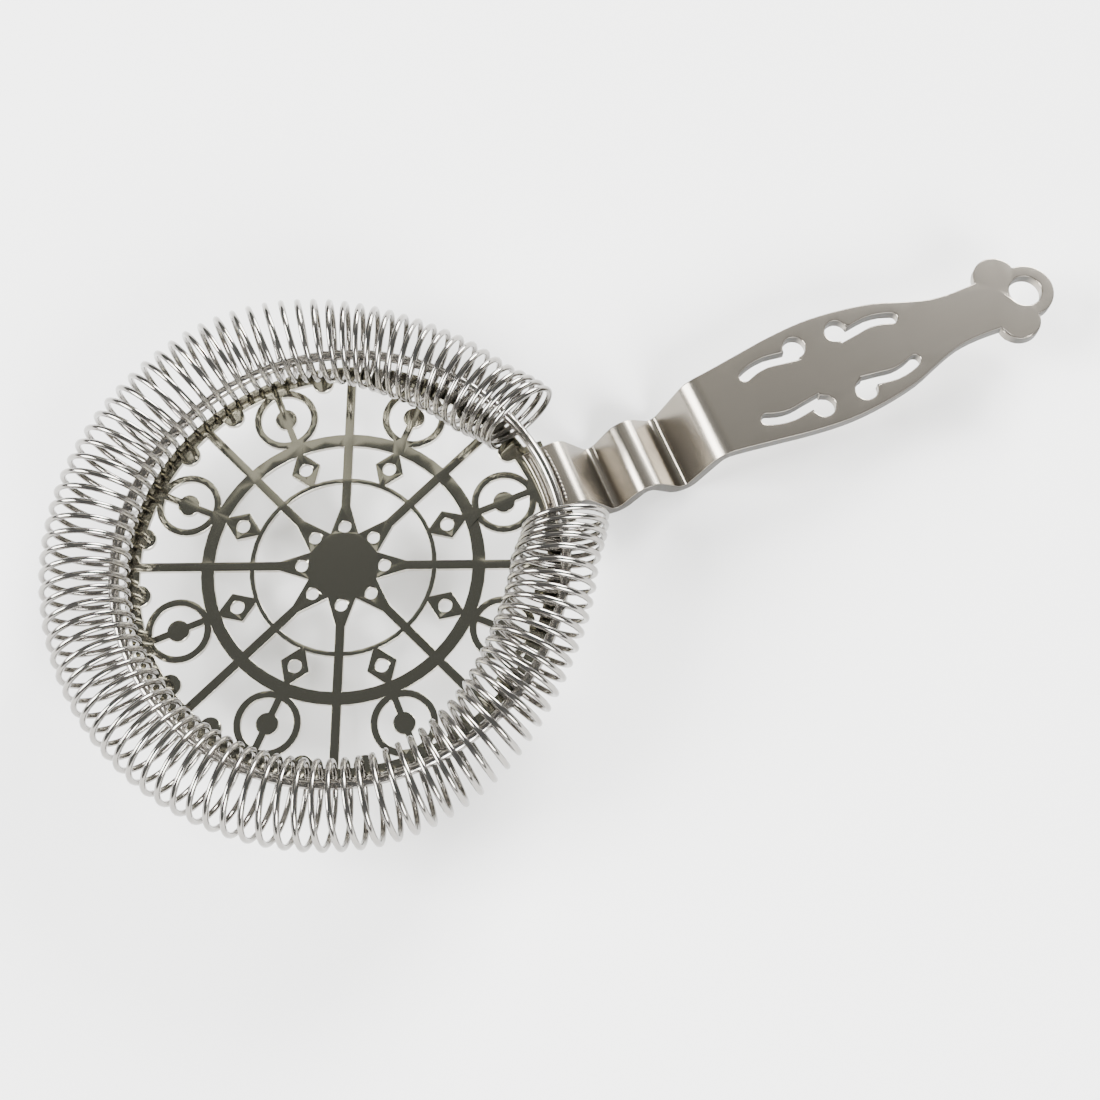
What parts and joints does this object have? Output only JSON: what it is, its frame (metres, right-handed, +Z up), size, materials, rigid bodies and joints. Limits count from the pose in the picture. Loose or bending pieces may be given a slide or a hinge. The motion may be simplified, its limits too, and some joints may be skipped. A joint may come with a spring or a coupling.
{
  "type": "hawthorne strainer",
  "caption": "Cocktail strainer: a cut-work strainer plate with a coil spring threaded on a hoop round it, and a flat bent handle with a hanging hole.",
  "frame": {"origin": "middle of the strainer plate, on its lower face", "axes": "+X along the handle, away from the plate; +Z up, on the side that the spring stands on; +Y to the left of the handle"},
  "size_m": [0.1928, 0.1014, 0.0253],
  "materials": {
    "mirror_sheet": "mirror polished stainless sheet, with bright laser-cut edges",
    "satin_strip": "satin stainless strip with softly rounded edges",
    "bright_wire": "bright drawn stainless wire",
    "weld_metal": "dull grey weld bead"
  },
  "bodies": {
    "root": {"strainer_plate": "mirror_sheet", "handle": "satin_strip", "hoop": "bright_wire", "hoop_weld_outer": "weld_metal", "hoop_weld_inner": "weld_metal"},
    "spring": {"coil_spring": "bright_wire"}
  },
  "joints": [
    {"name": "spring_press", "type": "slide", "parent": "root", "child": "spring", "axis": [1, 0, 0], "range_m": [0, 0.0012], "stiffness_N_per_m": 800}
  ]
}
